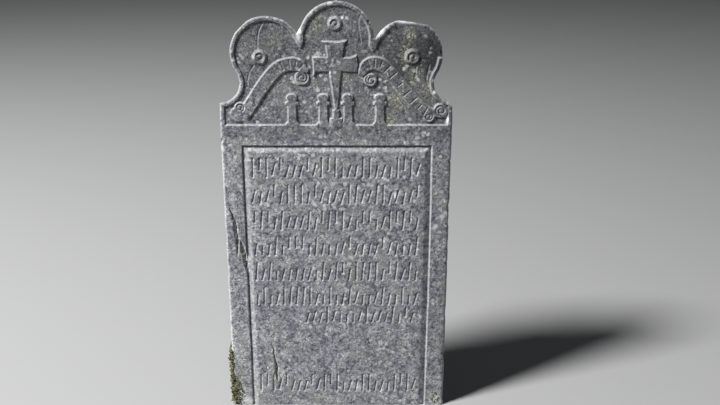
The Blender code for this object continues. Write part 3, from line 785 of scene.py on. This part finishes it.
def head_depth(x, z):
    """How far the head is cut below the front plane: the ground, less all that stands on it,
    with crisp upper edges and soft feet."""
    raised = [edge_distance(x, z, place(CROSS)), edge_distance(x, z, steps_edge())]
    raised += [edge_distance(x, z, post_edge(middle)) for middle in POST_MIDDLES]
    raised += [ribbon_rise(x, z, ribbon) for ribbon in (LEFT_RIBBON, RIGHT_RIBBON)]
    for cx, cz, radius, _, _ in CURLS:
        middle = place((cx, cz))
        raised.append(radius * WIDTH - np.hypot(x - middle[0], z - middle[1]))
    sunk = np.minimum(edge_distance(x, z, ground_edge), -np.max(raised, axis=0))
    sunk = sunk + 0.0004 * grain(x, 0.0 * x, z, 0.009, 20)
    share = 1.0 - (1.0 - np.clip((sunk + 0.0006) / GROUND_WALL, 0.0, 1.0)) ** 1.5
    boss_rise, boss_cut = boss_relief(x, z)
    depth = GROUND_DEPTH * share * (1.0 - boss_rise) + boss_cut * boss_rise
    for line in TENDRILS:
        depth = depth + groove(x, z, place(smooth_line(line, 6)), 0.0060, 0.0012)
    rubbed = np.exp(-(((x - RUBBED_END[0]) / 0.016) ** 2) - ((z - RUBBED_END[1]) / 0.022) ** 2)
    depth = depth + 0.55 * (GROUND_DEPTH - depth) * rubbed * (sunk < 0.003)
    return depth + ribbon_cuts(x, z) + curl_cuts(x, z)


finish_stone(slab_stretch("slab_head", PANEL_TOP, HEAD_TOP, CELL, head_depth, FRONT, INNER, SIDE_ROWS))

# The panel between its borders, made in three stretches that meet between the rows. A channel
# with a steep outer wall and a long bevel rings it, rows of separate chisel strokes fill it,
# and two splits have opened in its left border and one near its foot.
BORDER_WIDTH = 0.052
CHANNEL_WIDTH = 0.019
CHANNEL_WALL = 0.0025
CHANNEL_DEPTH = 0.0055
CHANNEL_BOW = 0.0032
STROKE_WIDTH = 0.006
STROKE_DEPTH = 0.0025
STROKE_PITCH = 0.0185
ROW_PITCH = 0.0753
ROW_HEIGHT = 0.051
ROW_MARGIN = 0.0185
MAIN_ROWS_FOOT = 0.260
SHORT_ROW_DROP = 0.0625
SHORT_ROW_HEIGHT = 0.044
SHORT_ROW_INDENT = 0.140
LAST_ROW_TOP = 0.100
STRETCHES = (("foot", 0.0, 0.262), ("middle", 0.262, 0.5425), ("top", 0.5425, PANEL_TOP))

# Each split by its sharp right lip, from the top down: x, z and how wide it gapes there.
SPLITS = (
    (
        (-0.2925, 0.620, 0.0005), (-0.2835, 0.590, 0.0060), (-0.2757, 0.568, 0.0110),
        (-0.2748, 0.546, 0.0115), (-0.2720, 0.524, 0.0100), (-0.2755, 0.499, 0.0065),
        (-0.2775, 0.466, 0.0005),
    ),
    (
        (-0.2690, 0.524, 0.0005), (-0.2625, 0.508, 0.0070), (-0.2560, 0.487, 0.0130),
        (-0.2528, 0.470, 0.0135), (-0.2530, 0.448, 0.0080), (-0.2530, 0.426, 0.0005),
    ),
    (
        (-0.1920, 0.200, 0.0005), (-0.1838, 0.180, 0.0035), (-0.1863, 0.168, 0.0050),
        (-0.1820, 0.153, 0.0045), (-0.1787, 0.135, 0.0055), (-0.1755, 0.121, 0.0080),
        (-0.1764, 0.106, 0.0110), (-0.1765, 0.078, 0.0005),
    ),
)
SPLIT_LIP = 0.0026
SPLIT_DEPTH = 0.0062


def row_strokes():
    """Every stroke of every row: unlike heights and leans, taken in a fixed turn."""
    kinds = (
        (0.0, 1.0, 0.03), (0.0, 0.6, 0.10), (0.0, 0.6, 0.16), (0.4, 1.0, 0.03),
        (0.0, 0.5, 0.03), (0.1, 0.7, 0.16), (0.0, 1.0, 0.10),
    )
    reach = WIDTH / 2 - BORDER_WIDTH - CHANNEL_WIDTH - ROW_MARGIN / 2
    top = PANEL_TOP - CHANNEL_WIDTH - ROW_MARGIN
    rows = []
    while top - ROW_HEIGHT > MAIN_ROWS_FOOT:
        rows.append((-reach, top, ROW_HEIGHT))
        top -= ROW_PITCH
    rows.append((-reach + SHORT_ROW_INDENT, top + ROW_PITCH - SHORT_ROW_DROP, SHORT_ROW_HEIGHT))
    rows.append((-reach, LAST_ROW_TOP, ROW_HEIGHT))
    for row, (left, row_top, height) in enumerate(rows):
        for k in range(int((reach - left) / STROKE_PITCH) + 1):
            low, high, lean = kinds[(5 * row + 3 * k + k * k // 3) % len(kinds)]
            x = left + k * STROKE_PITCH
            shift = lean * height / 2
            yield (x - shift, row_top - (1.0 - low) * height), (x + shift, row_top - (1.0 - high) * height)


def channel_depth(x, z):
    """Depth of the channel by the distance in from its outer line, at the sides and the top. The
    right line bows out a little in half a sine wave, as the mason's hand left it."""
    wander = 0.0005 * grain(x, 0.0 * x, z, 0.05, 12)
    side = WIDTH / 2 - BORDER_WIDTH + wander
    bow = CHANNEL_BOW * np.sin(np.pi * np.clip((z - 0.02) / 0.95, 0.0, 1.0))
    inwards = np.minimum(np.minimum(x + side, side + bow - x), PANEL_TOP - z + wander)
    wall = (-0.0003, 0.0003, CHANNEL_WALL, CHANNEL_WALL + 0.001)
    bevel = (CHANNEL_WIDTH - 0.002, CHANNEL_WIDTH + 0.001)
    shares = (0.0, 0.10, 1.0, 0.99, 0.10, 0.0)
    return CHANNEL_DEPTH * np.interp(inwards, wall + bevel, shares)


def split_depth(x, z, lip_line):
    """One split: it slopes in from the left across its gape, and rises in a steep right lip."""
    rows = np.array(lip_line[::-1])
    jag = 0.0016 * grain(x, 0.0 * x, z, 0.013, 13) + 0.0008 * grain(x, 0.0 * x, z, 0.005, 14)
    gape = np.interp(z, rows[:, 1], rows[:, 2], left=0.0, right=0.0) + 1e-6
    past = x + jag - np.interp(z, rows[:, 1], rows[:, 0])
    share = np.where(past < 0.0, 1.0 + past / gape, 1.0 - past / SPLIT_LIP)
    depth = SPLIT_DEPTH * np.minimum(1.0, gape / 0.006)
    rough = 1.0 + 0.35 * grain(x, 0.0 * x, z, 0.004, 15)
    return depth * np.clip(share * 1.25, 0.0, 1.0) * rough * (gape > 2e-6)


def panel_depth(x, z):
    """The channel, the strokes and the splits cut in the panel and its borders."""
    cut = np.zeros(x.shape)
    for stroke in row_strokes():
        cut = np.maximum(cut, groove(x, z, stroke, STROKE_WIDTH, STROKE_DEPTH, 0.35))
    for lip_line in SPLITS:
        cut = np.maximum(cut, split_depth(x, z, lip_line))
    return cut + channel_depth(x, z)


for stretch, foot, top in STRETCHES:
    panel = slab_stretch(f"slab_panel_{stretch}", foot, top, CELL, panel_depth, FRONT, INNER, SIDE_ROWS)
    finish_stone(panel)

# Moss at the foot: small olive cushions that have rooted in the chipped left side and corner,
# where they hang past the edge in a soft fringe, and a few beside the channel at the right.
MOSS_STRIPS = (
    (300, (-0.3150, -0.2990), (FRONT - 0.004, FRONT + 0.040), (0.060, 0.200), (0.0018, 0.0042)),
    (90, (-0.3130, -0.2970), (FRONT + 0.008, FRONT + 0.046), (0.000, 0.140), (0.0018, 0.0040)),
    (540, (-0.3150, -0.2760), (FRONT - 0.002, FRONT + 0.011), (0.003, 0.100), (0.0014, 0.0038)),
    (70, (0.2640, 0.3000), (FRONT + 0.001, FRONT + 0.005), (0.004, 0.052), (0.0014, 0.0036)),
)
MOSS_MIDDLE = 0.4
MOSS_AROUND = 12
MOSS_UP = 7


def moss_cushions(name, strips, seed):
    """Small balls, thickest towards the middle of their strip, each a grid of angles around and
    up with a point at either pole, pushed in and out by noise until they look like tufts."""
    chance = np.random.default_rng(seed)
    centres, sizes = [], []
    for count, *ranges, radii in strips:
        spots = [chance.triangular(a, a + MOSS_MIDDLE * (b - a), b, count) for a, b in ranges]
        centres.append(np.column_stack(spots))
        sizes.append(chance.uniform(*radii, count))
    centres, sizes = np.vstack(centres), np.concatenate(sizes)
    turn, climb = np.meshgrid(
        np.arange(MOSS_AROUND) * 2 * np.pi / MOSS_AROUND,
        np.linspace(-np.pi / 2, np.pi / 2, MOSS_UP + 2)[1:-1],
    )
    ball = (np.cos(turn) * np.cos(climb), np.sin(turn) * np.cos(climb), np.sin(climb))
    ball = np.column_stack([part.ravel() for part in ball])
    ball = np.vstack((ball, (0.0, 0.0, -1.0), (0.0, 0.0, 1.0)))
    points = centres[:, None, :] + sizes[:, None, None] * ball
    rough = 1.0 + 0.40 * grain(points[..., 0], points[..., 1], points[..., 2], 0.0022, 21)
    points = centres[:, None, :] + sizes[:, None, None] * ball * rough[..., None]
    points[..., 1] = np.maximum(points[..., 1], FRONT - 0.0013)
    points[..., 2] = np.maximum(points[..., 2], 0.0002)
    ring = np.arange(MOSS_AROUND)
    after = (ring + 1) % MOSS_AROUND
    quads = [
        np.column_stack((row + ring, row + after, row + MOSS_AROUND + after, row + MOSS_AROUND + ring))
        for row in range(0, MOSS_AROUND * (MOSS_UP - 1), MOSS_AROUND)
    ]
    low_pole, high_pole = len(ball) - 2, len(ball) - 1
    last = MOSS_AROUND * (MOSS_UP - 1)
    caps = np.vstack(
        (
            np.column_stack((after, ring, np.full(MOSS_AROUND, low_pole))),
            np.column_stack((last + ring, last + after, np.full(MOSS_AROUND, high_pole))),
        )
    )
    shift = (np.arange(len(centres)) * len(ball))[:, None, None]
    quads = (np.vstack(quads)[None] + shift).reshape(-1, 4)
    triangles = (caps[None] + shift).reshape(-1, 3)
    return stone_mesh(name, points.reshape(-1, 3), quads, triangles, {"tuft": rough.ravel()})


MOSS_SHADES = (
    (0.42, (0.026, 0.025, 0.013)), (0.68, (0.520, 0.520, 0.390)), (0.54, (0.150, 0.148, 0.075)),
)


def paint_moss():
    """Moss: pale yellow-green tips, darker olive between them, and a fine fuzz."""
    material = bpy.data.materials.new("moss")
    material.use_nodes = True
    nodes, links = material.node_tree.nodes, material.node_tree.links
    shader = nodes["Principled BSDF"]
    shader.inputs["Roughness"].default_value = 0.95
    shader.inputs["Specular IOR Level"].default_value = 0.2
    where = nodes.new("ShaderNodeTexCoord")
    fuzz = nodes.new("ShaderNodeTexNoise")
    fuzz.inputs["Scale"].default_value = 380.0
    fuzz.inputs["Detail"].default_value = 5.0
    links.new(where.outputs["Object"], fuzz.inputs["Vector"])
    shades = nodes.new("ShaderNodeValToRGB")
    stops = shades.color_ramp.elements
    for element, (position, colour) in zip((stops[0], stops[1], stops.new(0.52)), MOSS_SHADES):
        element.position = position
        element.color = (*colour, 1.0)
    links.new(fuzz.outputs["Fac"], shades.inputs["Fac"])
    links.new(shades.outputs["Color"], shader.inputs["Base Color"])
    bump = nodes.new("ShaderNodeBump")
    bump.inputs["Strength"].default_value = 0.9
    bump.inputs["Distance"].default_value = 0.002
    links.new(fuzz.outputs["Fac"], bump.inputs["Height"])
    links.new(bump.outputs["Normal"], shader.inputs["Normal"])
    return material


moss = moss_cushions("moss_tufts", MOSS_STRIPS, 5)
moss.data.materials.append(paint_moss())
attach(moss, "root")

# Floor, light and camera: a plain pale floor, a large soft lamp high on the left that rakes
# the carving, a low even light from all around, and the camera at the picture's place.
FLOOR_REACH = 22.0
FLOOR_GREY = (0.27, 0.27, 0.27, 1.0)
STUDIO_AIR = (0.80, 0.83, 0.88, 1.0)
STUDIO_STRENGTH = 0.10
floor_mesh = bpy.data.meshes.new("floor")
corners = [(x * FLOOR_REACH, y * FLOOR_REACH, 0.0) for x, y in ((-1, -1), (1, -1), (1, 1), (-1, 1))]
floor_mesh.from_pydata(corners, [], [(0, 1, 2, 3)])
floor = bpy.data.objects.new("floor", floor_mesh)
bpy.context.scene.collection.objects.link(floor)
pale = bpy.data.materials.new("pale_floor")
pale.use_nodes = True
pale.node_tree.nodes["Principled BSDF"].inputs["Base Color"].default_value = FLOOR_GREY
pale.node_tree.nodes["Principled BSDF"].inputs["Roughness"].default_value = 0.9
floor_mesh.materials.append(pale)

world = bpy.data.worlds.new("studio")
world.use_nodes = True
world.node_tree.nodes["Background"].inputs["Color"].default_value = STUDIO_AIR
world.node_tree.nodes["Background"].inputs["Strength"].default_value = STUDIO_STRENGTH
bpy.context.scene.world = world

LAMP_AIM = np.array((0.0, FRONT, 0.60))
LAMP_WAY = np.array((-0.58, -0.33, 0.74))
LAMP_DISTANCE = 9.0
LAMP_SIZE = 1.9
LAMP_POWER = 2250.0
lamp_place = LAMP_AIM + LAMP_WAY / np.linalg.norm(LAMP_WAY) * LAMP_DISTANCE
lamp = bpy.data.objects.new("key_lamp", bpy.data.lights.new("key_lamp", "AREA"))
lamp.data.shape = "DISK"
lamp.data.size = LAMP_SIZE
lamp.data.energy = LAMP_POWER
lamp.location = lamp_place
lamp.rotation_euler = Vector(LAMP_AIM - lamp_place).to_track_quat("-Z", "Y").to_euler()
bpy.context.scene.collection.objects.link(lamp)

CAMERA_LENS = 44.0
CAMERA_PLACE = (0.063, FRONT - 2.262, 1.4055)
CAMERA_DIP = 18.893
camera = bpy.data.objects.new("camera", bpy.data.cameras.new("camera"))
camera.data.sensor_width = 36.0
camera.data.lens = CAMERA_LENS
camera.location = CAMERA_PLACE
camera.rotation_euler = (math.radians(90.0 - CAMERA_DIP), 0.0, 0.0)
bpy.context.scene.collection.objects.link(camera)
bpy.context.scene.camera = camera
bpy.context.scene.view_settings.view_transform = "Standard"
